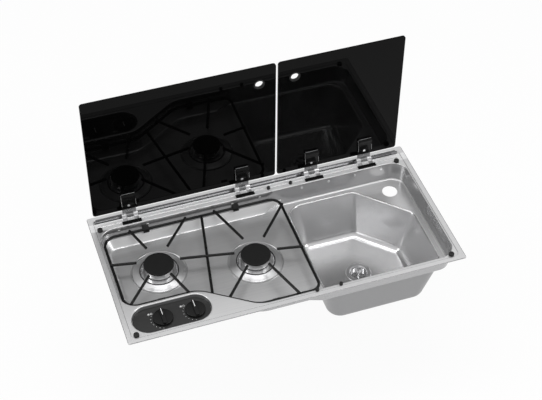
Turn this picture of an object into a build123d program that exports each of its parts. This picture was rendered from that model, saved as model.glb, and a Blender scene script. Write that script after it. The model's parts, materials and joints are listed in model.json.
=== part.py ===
"""Combined hob and sink for a caravan or motorhome, with two hinged glass lids.

Millimetres, +Z up. The origin is the middle of the rim, in the upper surface of the worktop
that the rim rests on. +X runs along the rim to the right, +Y to the hinges at the rear. The
lids stand open, as they are left when the hob and the sink are used.
"""

import os
from math import cos, hypot, radians, sin, sqrt, tan

from build123d import *

os.makedirs("parts", exist_ok=True)

# Sheet steel and the rim
sheet = 0.8
rim_length = 900.0
rim_width = 445.0
rim_left = -rim_length / 2
rim_right = rim_length / 2
rim_front = -rim_width / 2
rim_rear = rim_width / 2
rim_corner = 5.0
rim_top = 2.0
rim_lip = 1.0
border = 14.0
rear_border = 9.5
border_corner = 15.0
panel_drop = 1.0
panel_top = rim_top - panel_drop
panel_under = panel_top - sheet
seal_front_inset = 11.0
seal_rear_inset = 6.5
seal_clearance = 0.2
press_overlap = 1.0

# Recess for the hob and for the ledge round the bowl. The hob keeps its size and its place from
# the left end of the rim, and the sink takes the length that is left.
recess_left_inset = 17.5
recess_left = rim_left + recess_left_inset
recess_right_inset = 18.0
recess_right = rim_right - recess_right_inset
recess_rear_inset = 54.5
recess_rear = rim_rear - recess_rear_inset
recess_front_inset = 22.0
recess_front = rim_front + recess_front_inset
recess_shelf_inset = 115.0
recess_shelf = rim_front + recess_shelf_inset
shelf_bend_inset = 211.2
shelf_bend_x = rim_left + shelf_bend_inset
shelf_end_inset = 346.6
shelf_end_x = rim_left + shelf_end_inset
recess_corner = 42.0
shelf_bend = 72.0
shelf_end_bend = 82.0
recess_floor = -55.0
wall_draft = 4.5
edge_radius = 2.5
edge_under_radius = 1.5
mouth_flare = 0.4
floor_radius = 5.0

# Slope round the hob floor, which ends beside the sink
slope_top = -36.0
slope_angle = 45.0
slope_floor_radius = 10.0
slope_end_inset = 474.0
slope_end_x = rim_left + slope_end_inset
slope_run_out_inset = 526.0
slope_run_out_x = rim_left + slope_run_out_inset

# Bowl: places of its walls at the ledge and at its floor, and the legs of its cut corner
bowl_floor = -193.0
bowl_top_insets = {"left": 535.0, "right": 43.0, "front": 36.0, "rear": 77.5, "leg": 126.5}
bowl_floor_insets = {"left": 558.0, "right": 72.0, "front": 62.5, "rear": 106.5, "leg": 98.0}
bowl_top_walls, bowl_floor_walls = (
    {
        "left": rim_left + inset["left"],
        "right": rim_right - inset["right"],
        "front": rim_front + inset["front"],
        "rear": rim_rear - inset["rear"],
        "leg": inset["leg"],
    }
    for inset in (bowl_top_insets, bowl_floor_insets)
)
bowl_corners = [40.0, 40.0, 30.0, 28.0, 42.0]
bowl_floor_radius = 24.0
bowl_mouth_radius = 4.5
bowl_flange = 5.5
bowl_seam = 0.05
drain_offset = -8.0
drain_x = (bowl_top_walls["left"] + bowl_top_walls["right"]) / 2 + drain_offset
drain_y = -24.0
tap_hole_right_inset = 71.0
tap_hole_x = rim_right - tap_hole_right_inset
tap_hole_rear_inset = 105.5
tap_hole_y = rim_rear - tap_hole_rear_inset
tap_hole_radius = 21.0

# Hinge groove in the rear of the panel
groove_rear_inset = 9.5
groove_rear = rim_rear - groove_rear_inset
groove_front_inset = 26.0
groove_front = rim_rear - groove_front_inset
groove_left_inset = 14.0
groove_left = rim_left + groove_left_inset
groove_right_inset = 17.0
groove_right = rim_right - groove_right_inset
groove_depth = 4.0
groove_end_flat = 0.5

# Control recess, panel and knobs
control_left_inset = 26.0
control_left = rim_left + control_left_inset
control_right_inset = 229.0
control_right = rim_left + control_right_inset
control_rear_inset = 107.5
control_rear = rim_front + control_rear_inset
control_front_inset = 21.0
control_front = rim_front + control_front_inset
control_corner = 43.0
control_floor = -12.0
control_plate = 2.0
control_clearance = 0.5
knob_row_inset = 63.5
knob_row_y = rim_front + knob_row_inset
knob_insets = {"left": 104.5, "right": 188.0}
knob_places = {side: (rim_left + inset, knob_row_y) for side, inset in knob_insets.items()}
knob_radius = 25.5
knob_disc = 3.3
knob_lift = 3.5
knob_bar_width = 10.0
knob_bar_height = 5.7
knob_edge = 1.0
shaft_radius = 3.0
shaft_flat = 2.0
shaft_bottom = -32.0
shaft_in_knob = 4.0
shaft_hole_radius = 4.0

# Gas valves, manifold and pipes
valve_width = 24.0
valve_depth = 26.0
valve_bottom = -44.0
plug_radius = 7.0
plug_bottom = -40.0
plug_top = -14.0
plug_wall = 3.0
plug_port = 2.0
turning_fit = 0.05
outlet_z = -36.0
outlet_radius = 6.0
outlet_length = 5.0
spigot_radius = 4.0
spigot_length = 5.0
manifold_radius = 8.0
manifold_wall = 2.5
manifold_left_inset = 50.0
manifold_left = rim_left + manifold_left_inset
manifold_right_inset = 215.0
manifold_right = rim_left + manifold_right_inset
pipe_radius = 4.0
pipe_wall = 1.0
gas_inlet_length = 25.0
pipe_drop_y = knob_row_y + 35.0
pipe_run_z = -68.0
pipe_bends = [12.0, 14.0, 24.0]
pipe_turn = {"left": 110.0, "right": 90.0}
manifold_flat = 1.0

# Burners
burner_insets = {"left": 144.5, "right": 394.0}
burner_rows = {"left": 31.5, "right": -16.0}
burner_places = {side: (rim_left + burner_insets[side], burner_rows[side]) for side in burner_rows}
dish_radius = 75.0
dish_lip = 50.6
dish_height = 7.0
dish_bead = {"height": 1.4, "outer": 1.2, "crest": 1.4, "inner": 1.6}
dish_valley = 2.2
dish_rise = 2.6
dish_step = 1.6
dish_shoulder = 0.6
floor_hole_radius = 49.8
cup_flange = 50.4
cup_depth = 2.5
cup_lip = 1.8
cup_wall = 1.0
cup_bend = 1.2
seal_inner = 49.2
seal_outer = 51.8
seal_height = 1.5
burner_neck = 20.0
neck_clearance = 0.3
neck_bore = 8.0
burner_body_radius = 34.0
burner_body_bottom = -76.0
crown_bottom = -47.5
crown_top = -26.5
crown_chamfer = 2.0
crown_radius = 36.0
crown_wall = 6.0
crown_bore = crown_radius - crown_wall
crown_floor = 3.0
flame_slots = 24
flame_slot_width = 1.6
flame_slot_depth = 5.0
cap_overhang = 3.5
cap_radius = crown_radius + cap_overhang
cap_height = 4.0
cap_edge = 1.5
cap_spigot = 2.0
cap_fit = 0.4
cap_lift_gap = 0.1
inlet_boss_radius = 7.0
inlet_boss_end = 42.0
probe_radius = 1.8
probe_gap = 2.5
probe_offset = cap_radius + probe_gap + probe_radius
probe_top = -24.0
probe_bottom = -74.0
probe_collar = 2.5

# Pan support of bent and welded wire
wire = 3.75
frame_left_inset = 26.0
frame_left = rim_left + frame_left_inset
frame_right_inset = 514.0
frame_right = rim_left + frame_right_inset
frame_rear = recess_rear - 12.0
frame_front = recess_front + 14.5
frame_shelf = recess_shelf + 14.0
frame_z = -17.0
frame_bends = [35.0, 30.0, 25.0, 70.0, 85.0, 33.0]
finger_rise = 5.7
finger_tip = 56.0
finger_first_angle = -10.8
finger_step = 60.0
finger_end = 3.0
rubber_fit = 0.3
clip_half_width = 8.0
clip_wall = 3.5
clip_gap = 4.8
rest_insets = {"shelf": 120.0, "front": 394.0}
rest_x = {place: rim_left + inset for place, inset in rest_insets.items()}
rest_half_width = 9.0
rest_depth = 10.0

# Hinges
pivot_inset = 20.25
pivot_y = rim_rear - pivot_inset
pivot_z = 4.75
knuckle_radius = 5.5
pin_radius = 2.5
pin_fit = 0.05
lug_inner = 9.5
lug_outer = 21.5
strap_thickness = 1.8
strap_front_inset = 46.5
strap_front = rim_rear - strap_front_inset
cover_half_width = 26.0
cover_front_inset = 51.0
cover_front = rim_rear - cover_front_inset
cover_rear_inset = 40.5
cover_rear = rim_rear - cover_rear_inset
cover_top = 4.2
cover_wall = 0.6
bracket_half_width = 46.0
bracket_sheet = 2.0
bracket_bottom = -21.0
bracket_rear_inset = 28.5
bracket_rear = rim_rear - bracket_rear_inset
leaf_screw_x = 15.5
leaf_screw_inset = 43.0
leaf_screw_y = rim_rear - leaf_screw_inset
leaf_screw_head = 3.2
leaf_screw_head_height = 0.6
screw_radius = 1.9
screw_clearance = 0.2
wall_screw_spread = 39.0
wall_screw_z = -12.0
wall_screw_head = 4.0
wall_screw_head_height = 1.6

# Glass lids, standing open
glass = 5.0
glass_front_inset = 17.0
glass_front = rim_rear - glass_front_inset
glass_bottom = 21.5
glass_top = 411.0
glass_corner = 8.0
glass_edge = 0.5
lid_left_inset = 16.5
lid_left_length = 506.5
lids_apart = 5.5
lid_right_inset = 24.0
lid_joint = rim_left + lid_left_inset + lid_left_length
lid_spans = {
    "left": (rim_left + lid_left_inset, lid_joint),
    "right": (lid_joint + lids_apart, rim_right - lid_right_inset),
}
hinge_shares = {"left": (0.1915, 0.8117), "right": (0.2812, 0.7272)}
lid_hinges = {
    side: [span[0] + share * (span[1] - span[0]) for share in hinge_shares[side]]
    for side, span in lid_spans.items()
}
hinge_x = lid_hinges["left"] + lid_hinges["right"]
finger_hole_inset = 45.25
finger_hole_x = {
    "left": lid_spans["left"][1] - finger_hole_inset,
    "right": lid_spans["right"][0] + finger_hole_inset,
}
finger_hole_z = 355.0
grommet_bore = 11.0
grommet_flange = 15.0
grommet_wall = 1.8
grommet_lip = 1.0
grommet_clearance = 0.2

# Arms and clips that hold the glass
arm_thickness = 2.0
arm_half_width = 18.7
arm_neck = 8.9
arm_neck_top = 11.0
arm_tang = 16.0
arm_top = 70.0
arm_slot = (6.0, 3.0)
arm_slot_z = 18.5
clip_cover_half_width = 19.0
clip_cover_bottom = 26.0
clip_cover_top = 81.0
clip_cover_thin = 3.0
clip_cover_thick = 9.8
clip_cover_bend_z = 39.0
clip_cover_corner = 4.0
jaw_thickness = 3.0
clip_screw_z = 38.0
clip_screw_head = 3.5
clip_screw_head_height = 1.3
clip_screw_hole = 3.0
clip_fit = 0.2

# Rubber bumpers that the closed lids rest on
lid_gap = 0.3
bumper_top = pivot_z + glass_front - pivot_y - lid_gap
bumper_insets = {
    "left_rear": (25.0, 52.0),
    "left_front": (26.0, 22.0),
    "right_rear": (34.0, 54.0),
    "right_front": (34.0, 22.0),
}
corner_bumpers = [
    (
        rim_left + inset[0] if "left" in place else rim_right - inset[0],
        rim_rear - inset[1] if "rear" in place else rim_front + inset[1],
    )
    for place, inset in bumper_insets.items()
]
corner_bumper_radius = 7.2
edge_bumper_rear_inset = 42.5
edge_bumper_front_inset = 18.8
edge_bumper_left_inset = 27.7
edge_bumper_right_insets = {"rear": 30.3, "front": 30.9}
edge_bumper_rows = {
    "rear": rim_rear - edge_bumper_rear_inset,
    "front": rim_front + edge_bumper_front_inset,
}
edge_bumpers = [
    place
    for row, y in edge_bumper_rows.items()
    for place in (
        (lid_spans["left"][1] - edge_bumper_left_inset, y),
        (lid_spans["right"][0] + edge_bumper_right_insets[row], y),
    )
]
edge_bumper_radius = 4.7
bumper_dimple = 2.0
bumper_round = 1.0

# Strainer and waste
strainer_radius = 35.0
strainer_rim = 1.4
strainer_bore = 22.5
strainer_tube = 25.0
strainer_tube_bottom = -222.0
strainer_seat = -206.0
strainer_seat_bore = 19.0
strainer_hole = 25.3
basket_clearance = 0.4
basket_height = 11.0
basket_holes = {16.5: 12, 10.5: 6}
basket_hole_radius = 1.7
basket_stem_radius = 2.5
basket_knob_radius = 6.0
basket_knob_top = -183.0
thread_fit = 0.15
nut_radius = 37.0
nut_height = 6.0
waste_radius = 31.0
waste_top = -204.0
waste_bottom = -236.0
waste_step = -224.0
waste_wall = 3.0
outlet_tube_radius = 14.0
outlet_tube_bore = 12.0
outlet_tube_bottom = -264.0

wall_slope = tan(radians(wall_draft))


def save(piece, name):
    """Label a finished piece and write it under its own name."""
    piece.label = name
    export_step(piece, f"parts/{name}.step")


def block(x_span, y_span, z_span, mode=Mode.ADD):
    """Add or cut a box that runs between the two given ends along each axis."""
    spans = (x_span, y_span, z_span)
    with Locations(tuple(sum(span) / 2 for span in spans)):
        Box(*(abs(span[1] - span[0]) for span in spans), mode=mode)


def outline(points, radius, grow=0.0):
    """Closed outline with rounded corners as a face, grown outwards by a distance."""
    with BuildSketch(Plane.XY) as face:
        with BuildLine():
            FilletPolyline(*points, radius=radius, close=True)
        make_face()
        if grow:
            offset(amount=grow, mode=Mode.REPLACE)
    return face.sketch


def prism_along_x(points, x_span):
    """Solid along X from a profile of (y, z) points."""
    with BuildPart() as solid:
        with BuildSketch(Plane.YZ.offset(x_span[0])):
            with BuildLine():
                Polyline(*points, close=True)
            make_face()
        extrude(amount=x_span[1] - x_span[0])
    return solid.part


def turned(points, centre):
    """Solid of revolution about a vertical axis, from a profile of (radius, z) points."""
    axis = Axis((*centre, 0), (0, 0, 1))
    with BuildPart() as solid:
        with BuildSketch(Plane(origin=(*centre, 0), x_dir=(1, 0, 0), z_dir=(0, -1, 0))):
            with BuildLine():
                Polyline(*points, close=True)
            make_face()
        revolve(axis=axis)
    return solid.part


def upright(centre, radius, z_span, mode=Mode.ADD):
    """Add or cut an upright cylinder between two heights."""
    with Locations((*centre, sum(z_span) / 2)):
        Cylinder(radius, abs(z_span[1] - z_span[0]), mode=mode)


def lying(centre, radius, x_span, mode=Mode.ADD):
    """Add or cut a cylinder along X round the point (y, z)."""
    with Locations(Location((sum(x_span) / 2, *centre), (0, 90, 0))):
        Cylinder(radius, abs(x_span[1] - x_span[0]), mode=mode)


def through_glass(centre, radius, y_span, mode=Mode.ADD):
    """Add or cut a cylinder along Y round the point (x, z), square to an open lid."""
    with Locations(Location((centre[0], sum(y_span) / 2, centre[1]), (90, 0, 0))):
        Cylinder(radius, abs(y_span[1] - y_span[0]), mode=mode)


# ---- Deck -------------------------------------------------------------------

recess_points = [
    (recess_left, recess_rear),
    (recess_right, recess_rear),
    (recess_right, recess_front),
    (shelf_end_x, recess_front),
    (shelf_bend_x, recess_shelf),
    (recess_left, recess_shelf),
]
recess_radii = [recess_corner, recess_corner, recess_corner, shelf_end_bend, shelf_bend, recess_corner]
control_points = [
    (control_left, control_rear),
    (control_right, control_rear),
    (control_right, control_front),
    (control_left, control_front),
]
groove_points = [
    (groove_left, groove_rear),
    (groove_right, groove_rear),
    (groove_right, groove_front),
    (groove_left, groove_front),
]
groove_corner = (groove_rear - groove_front - groove_end_flat) / 2


def wall_inset(z):
    """How far a drafted recess wall has moved inwards at a height."""
    return (panel_top - z) * wall_slope


def mouth(points, radii, body):
    """Cavity with an upper edge that rolls out into the face of the panel."""
    with BuildPart() as cavity:
        add(body)
        with BuildSketch(Plane.XY.offset(panel_top)):
            add(outline(points, radii, edge_radius + mouth_flare))
        extrude(amount=panel_drop + press_overlap)
        brim = cavity.faces().filter_by(Plane.XY).group_by(Axis.Z)[-2].sort_by(SortBy.AREA)[-1]
        fillet(brim.inner_wires().edges(), edge_radius)
    return cavity.part


def slope_wedge(grow):
    """What the slope takes out of the lower corner of the recess round the hob."""
    turn = grow * tan(radians((slope_angle - wall_draft) / 2))
    start = slope_top - turn + slope_floor_radius
    reach = grow - wall_inset(slope_top - turn) + slope_floor_radius
    floor = recess_floor - grow
    rear = recess_rear - wall_inset(recess_floor) + press_overlap + grow
    front = recess_front + wall_inset(recess_floor) - press_overlap - grow
    inset = (slope_top - recess_floor) / tan(radians(slope_angle)) + wall_inset(slope_top)
    crease_rear = recess_rear - inset + grow
    crease_front = recess_front + inset - grow
    with BuildPart() as tub:
        with BuildSketch(Plane.XY.offset(start)):
            add(outline(recess_points, recess_radii, reach))
            with Locations((recess_right, 0)):
                Rectangle(recess_right, 2 * rim_width, mode=Mode.SUBTRACT)
        extrude(amount=floor - start, taper=slope_angle)
        fillet(tub.faces().sort_by(Axis.Z)[0].edges(), slope_floor_radius + grow)
    with BuildPart() as wedge:
        with BuildSketch(Plane.XY.offset(start)):
            with BuildLine():
                Polyline(
                    (-rim_length / 2, rim_width / 2),
                    (slope_run_out_x, rim_width / 2),
                    (slope_run_out_x, rear),
                    (slope_end_x, crease_rear),
                    (slope_end_x, crease_front),
                    (slope_run_out_x, front),
                    (slope_run_out_x, -rim_width / 2),
                    (-rim_length / 2, -rim_width / 2),
                    close=True,
                )
            make_face()
        extrude(amount=floor - press_overlap - start)
        add(tub.part, mode=Mode.SUBTRACT)
    return wedge.part


def recess_body(grow):
    """The recess as a solid, grown outwards by the thickness of the sheet."""
    wedge = slope_wedge(grow)
    with BuildPart() as body:
        with BuildSketch(Plane.XY.offset(panel_top)):
            add(outline(recess_points, recess_radii, grow))
        extrude(amount=recess_floor - grow - panel_top, taper=wall_draft)
        fillet(body.faces().sort_by(Axis.Z)[0].edges(), floor_radius + grow)
        add(wedge, mode=Mode.SUBTRACT)
    return body.part


def pocket_body(points, radius, floor, grow):
    """A shallow pressed pocket as a solid, grown outwards by the thickness of the sheet."""
    with BuildPart() as body:
        with BuildSketch(Plane.XY.offset(panel_top)):
            add(outline(points, radius, grow))
        extrude(amount=floor - grow - panel_top, taper=wall_draft)
    return body.part


def bowl_corner_points(walls, grow):
    """Corners of the five-sided plan of the bowl, from the front left and round to the right."""
    left = walls["left"] - grow
    right = walls["right"] + grow
    front = walls["front"] - grow
    rear = walls["rear"] + grow
    cut = walls["right"] + walls["rear"] - walls["leg"] + grow * sqrt(2)
    return [(left, front), (right, front), (right, cut - right), (cut - rear, rear), (left, rear)]


def bowl_mouth_plan(grow):
    """Plan of the bowl where it meets the ledge, with its rounded corners."""
    return outline(bowl_corner_points(bowl_top_walls, 0), bowl_corners, grow)


def bowl_body(grow):
    """The bowl as a solid, grown outwards by the thickness of the sheet."""
    top_corners = bowl_corner_points(bowl_top_walls, grow)
    floor_corners = bowl_corner_points(bowl_floor_walls, grow)
    with BuildPart() as body:
        with BuildSketch(Plane.XY.offset(recess_floor)):
            with BuildLine():
                Polyline(*top_corners, close=True)
            make_face()
        with BuildSketch(Plane.XY.offset(bowl_floor - grow)):
            with BuildLine():
                Polyline(*floor_corners, close=True)
            make_face()
        loft(ruled=True)
        for corner, radius in zip(top_corners, bowl_corners):
            walls_meet = body.edges().filter_by(lambda e: e.bounding_box().size.Z > bowl_floor_radius)
            fillet(walls_meet.sort_by_distance((*corner, recess_floor))[0], radius + grow)
        fillet(body.faces().sort_by(Axis.Z)[0].edges(), bowl_floor_radius + grow)
    return body.part


recess_outside = recess_body(sheet)
recess_inside = mouth(recess_points, recess_radii, recess_body(0))
groove_outside = pocket_body(groove_points, groove_corner, panel_top - groove_depth, sheet)
groove_inside = pocket_body(groove_points, groove_corner, panel_top - groove_depth, 0)
control_outside = pocket_body(control_points, control_corner, control_floor, sheet)
control_inside = mouth(
    control_points, control_corner, pocket_body(control_points, control_corner, control_floor, 0)
)
wall_screw_x = [x + side * wall_screw_spread for x in hinge_x for side in (-1, 1)]
wall_screw_y = recess_rear - wall_inset(wall_screw_z)
wall_screw_planes = [
    Plane(
        origin=(x, wall_screw_y, wall_screw_z),
        x_dir=(1, 0, 0),
        z_dir=(0, -cos(radians(wall_draft)), sin(radians(wall_draft))),
    )
    for x in wall_screw_x
]
leaf_screw_places = [(x + side * leaf_screw_x, leaf_screw_y) for x in hinge_x for side in (-1, 1)]

with BuildPart() as deck:
    with BuildSketch(Plane.XY.offset(panel_under)):
        RectangleRounded(rim_length, rim_width, rim_corner)
    extrude(amount=rim_top - panel_under)
    for pressed in (recess_outside, groove_outside, control_outside):
        add(pressed)
    underside = deck.faces().filter_by(Plane.XY).sort_by(SortBy.AREA)
    brim = [f for f in underside if abs(f.center().Z - panel_under) < panel_drop / 4][-1]
    fillet(brim.inner_wires().edges(), edge_under_radius)
    with BuildSketch(Plane.XY.offset(panel_top)):
        with Locations((0, (border - rear_border) / 2)):
            RectangleRounded(rim_length - 2 * border, rim_width - border - rear_border, border_corner)
    extrude(amount=panel_drop, taper=-slope_angle, mode=Mode.SUBTRACT)
    for pressed in (recess_inside, groove_inside, control_inside):
        add(pressed, mode=Mode.SUBTRACT)
    # The folded edge of the rim stands round the seal.
    with BuildSketch(Plane.XY.offset(panel_under)):
        RectangleRounded(rim_length - 2 * rim_lip, rim_width - 2 * rim_lip, rim_corner - rim_lip)
        with Locations((0, (seal_front_inset - seal_rear_inset) / 2)):
            Rectangle(
                rim_length - 2 * seal_front_inset,
                rim_width - seal_front_inset - seal_rear_inset,
                mode=Mode.SUBTRACT,
            )
    extrude(amount=rim_top - sheet - panel_under, mode=Mode.SUBTRACT)
    with BuildSketch(Plane.XY.offset(recess_floor - sheet)):
        add(bowl_mouth_plan(bowl_flange))
    extrude(amount=2 * sheet, mode=Mode.SUBTRACT)
    ledge_cut = (recess_floor - 2 * sheet, recess_floor + sheet)
    upright((tap_hole_x, tap_hole_y), tap_hole_radius, ledge_cut, mode=Mode.SUBTRACT)
    for centre in burner_places.values():
        upright(centre, floor_hole_radius, ledge_cut, mode=Mode.SUBTRACT)
    control_cut = (control_floor - 2 * sheet, control_floor + sheet)
    for centre in knob_places.values():
        upright(centre, shaft_hole_radius, control_cut, mode=Mode.SUBTRACT)
    panel_cut = (panel_under - sheet, panel_top + sheet)
    for centre in leaf_screw_places:
        upright(centre, screw_radius + screw_clearance, panel_cut, mode=Mode.SUBTRACT)
    with Locations(*wall_screw_planes):
        Cylinder(screw_radius + screw_clearance, 6 * sheet, mode=Mode.SUBTRACT)
save(deck.part, "deck")

with BuildPart() as rim_seal:
    with BuildSketch(Plane.XY):
        Rectangle(
            rim_length - 2 * (rim_lip + rim_corner / 2), rim_width - 2 * (rim_lip + rim_corner / 2)
        )
        with Locations((0, (seal_front_inset - seal_rear_inset) / 2)):
            Rectangle(
                rim_length - 2 * (seal_front_inset - seal_clearance),
                rim_width - seal_front_inset - seal_rear_inset + 2 * seal_clearance,
                mode=Mode.SUBTRACT,
            )
    extrude(amount=rim_top - sheet)
save(rim_seal.part, "rim_seal")


# ---- Bowl -------------------------------------------------------------------

bowl_outside = bowl_body(sheet)
with BuildPart() as bowl_inside:
    add(bowl_body(0))
    with BuildSketch(Plane.XY.offset(recess_floor)):
        add(bowl_mouth_plan(bowl_flange + press_overlap))
    extrude(amount=press_overlap)
    brim = bowl_inside.faces().filter_by(Plane.XY).group_by(Axis.Z)[-2].sort_by(SortBy.AREA)[-1]
    fillet(brim.inner_wires().edges(), bowl_mouth_radius)

with BuildPart() as sink_bowl:
    with BuildSketch(Plane.XY.offset(recess_floor)):
        add(bowl_mouth_plan(bowl_flange - bowl_seam))
    extrude(amount=-sheet)
    add(bowl_outside)
    flat = sink_bowl.faces().filter_by(Plane.XY).sort_by(SortBy.AREA)
    brim = [f for f in flat if abs(f.center().Z - recess_floor + sheet) < sheet / 4][-1]
    fillet(brim.inner_wires().edges(), bowl_mouth_radius - sheet)
    add(bowl_inside.part, mode=Mode.SUBTRACT)
    floor_cut = (bowl_floor - 2 * sheet, bowl_floor + sheet)
    upright((drain_x, drain_y), strainer_hole, floor_cut, mode=Mode.SUBTRACT)
save(sink_bowl.part, "sink_bowl")


# ---- Controls and gas -------------------------------------------------------

panel_face = control_floor + control_plate
with BuildPart() as control_panel:
    with BuildSketch(Plane.XY.offset(control_floor)):
        add(outline(control_points, control_corner, -wall_inset(control_floor) - control_clearance))
        with Locations(*knob_places.values()):
            Circle(shaft_hole_radius, mode=Mode.SUBTRACT)
    extrude(amount=control_plate)
save(control_panel.part, "control_panel")


def shaft_section(clearance):
    """Round section with one flat, as on a tap's shaft."""
    radius = shaft_radius + clearance
    with BuildSketch(Plane.XY) as section:
        Circle(radius)
        with Locations((0, shaft_flat + clearance + radius)):
            Rectangle(2 * radius, 2 * radius, mode=Mode.SUBTRACT)
    return section.sketch


knob_bottom = panel_face + knob_lift
knob_shoulder = knob_bottom + knob_disc
shaft_top = knob_bottom + shaft_in_knob
valve_top = control_floor - sheet
manifold_z = valve_bottom - manifold_radius

for side, (knob_x, knob_y) in knob_places.items():
    with BuildPart() as knob:
        with BuildSketch(Plane.XY.offset(knob_bottom)):
            with Locations((knob_x, knob_y)):
                Circle(knob_radius)
        extrude(amount=knob_disc)
        fillet(knob.faces().sort_by(Axis.Z)[-1].edges(), knob_edge)
        with BuildSketch(Plane.XY.offset(knob_shoulder - knob_edge)):
            with Locations((knob_x, knob_y)):
                SlotOverall(2 * knob_radius - knob_edge, knob_bar_width, rotation=90)
        extrude(amount=knob_bar_height + knob_edge)
        fillet(knob.faces().sort_by(Axis.Z)[-1].edges(), knob_edge)
        with BuildSketch(Plane.XY.offset(knob_bottom)):
            with Locations((knob_x, knob_y)):
                add(shaft_section(turning_fit))
        extrude(amount=shaft_in_knob, mode=Mode.SUBTRACT)
    save(knob.part, f"knob_{side}")

    with BuildPart() as shaft:
        with BuildSketch(Plane.XY.offset(shaft_bottom)):
            with Locations((knob_x, knob_y)):
                add(shaft_section(0))
        extrude(amount=shaft_top - shaft_bottom)
    save(shaft.part, f"valve_shaft_{side}")

    with BuildPart() as plug:
        upright((knob_x, knob_y), plug_radius - turning_fit, (plug_bottom + turning_fit, plug_top))
        with BuildSketch(Plane.XY.offset(plug_bottom + plug_wall)):
            with Locations((knob_x, knob_y)):
                add(shaft_section(turning_fit))
        extrude(amount=plug_top - plug_bottom - plug_wall, mode=Mode.SUBTRACT)
        across = (knob_x - plug_radius, knob_x + plug_radius)
        lying((knob_y, outlet_z), plug_port, across, mode=Mode.SUBTRACT)
    save(plug.part, f"valve_plug_{side}")

    outlet_end = knob_y + valve_depth / 2 + outlet_length
    with BuildPart() as valve:
        block(
            (knob_x - valve_width / 2, knob_x + valve_width / 2),
            (knob_y - valve_depth / 2, knob_y + valve_depth / 2),
            (valve_bottom, valve_top),
        )
        through_glass((knob_x, outlet_z), outlet_radius, (knob_y, outlet_end))
        upright((knob_x, knob_y), spigot_radius, (valve_bottom - spigot_length, valve_bottom))
        upright((knob_x, knob_y), plug_radius, (plug_bottom, valve_top), mode=Mode.SUBTRACT)
        inlet = (valve_bottom - spigot_length, plug_bottom)
        upright((knob_x, knob_y), plug_port, inlet, mode=Mode.SUBTRACT)
        gas_way = (knob_y, outlet_end)
        through_glass((knob_x, outlet_z), pipe_radius - pipe_wall, gas_way, mode=Mode.SUBTRACT)
    save(valve.part, f"gas_valve_{side}")

    burner_x, burner_y = burner_places[side]
    pipe_route = [
        (knob_x, outlet_end, outlet_z),
        (knob_x, pipe_drop_y, outlet_z),
        (knob_x, pipe_drop_y, pipe_run_z),
        (burner_x, burner_y - pipe_turn[side], pipe_run_z),
        (burner_x, burner_y - inlet_boss_end, pipe_run_z),
    ]
    with BuildLine() as route:
        FilletPolyline(*pipe_route, radius=pipe_bends)
    with BuildPart() as pipe:
        with BuildSketch(Plane(origin=pipe_route[0], x_dir=(1, 0, 0), z_dir=(0, 1, 0))):
            Circle(pipe_radius)
            Circle(pipe_radius - pipe_wall, mode=Mode.SUBTRACT)
        sweep(path=route.line)
    save(pipe.part, f"gas_pipe_{side}")

manifold_y = knob_places["left"][1]
with BuildPart() as gas_manifold:
    lying((manifold_y, manifold_z), manifold_radius, (manifold_left, manifold_right))
    lying((manifold_y, manifold_z), pipe_radius, (manifold_left - gas_inlet_length, manifold_left))
    lying(
        (manifold_y, manifold_z),
        manifold_radius - manifold_wall,
        (manifold_left + manifold_wall, manifold_right - manifold_wall),
        mode=Mode.SUBTRACT,
    )
    lying(
        (manifold_y, manifold_z),
        pipe_radius - pipe_wall,
        (manifold_left - gas_inlet_length, manifold_left + manifold_wall),
        mode=Mode.SUBTRACT,
    )
    for centre in knob_places.values():
        upright(centre, spigot_radius + thread_fit, (manifold_z, valve_bottom), mode=Mode.SUBTRACT)
        # A flat seat for the foot of each valve.
        block(
            (centre[0] - valve_width / 2, centre[0] + valve_width / 2),
            (centre[1] - valve_depth / 2, centre[1] + valve_depth / 2),
            (valve_bottom - manifold_flat, valve_bottom),
            mode=Mode.SUBTRACT,
        )
save(gas_manifold.part, "gas_manifold")


# ---- Burners ----------------------------------------------------------------

dish_top = recess_floor + dish_height
dish_low = recess_floor + sheet
bead_top = dish_low + dish_bead["height"]
bead_crest = dish_radius - dish_bead["outer"]
bead_end = bead_crest - dish_bead["crest"] - dish_bead["inner"]
dish_profile = [
    (dish_radius, dish_low),
    (bead_crest, bead_top),
    (bead_crest - dish_bead["crest"], bead_top),
    (bead_end, dish_low),
    (bead_end - dish_valley, dish_low),
    (bead_end - dish_valley - dish_rise, dish_low + dish_step),
    (seal_outer + dish_shoulder, dish_top),
    (dish_lip, dish_top),
]
cup_floor = dish_top - cup_depth
cup_profile = [
    (cup_flange, dish_top),
    (cup_flange - cup_lip, dish_top),
    (cup_flange - cup_lip - cup_wall, cup_floor + sheet),
    (cup_flange - cup_lip - cup_wall - cup_bend, cup_floor),
    (burner_neck + neck_clearance, cup_floor),
]
body_top = cup_floor - sheet
cup_cut = (body_top - sheet, cup_floor + sheet)


def pressed_ring(upper_line):
    """Closed profile of a ring of sheet whose upper face is given as (radius, z) points."""
    return upper_line + [(r, z - sheet) for r, z in reversed(upper_line)]


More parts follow.
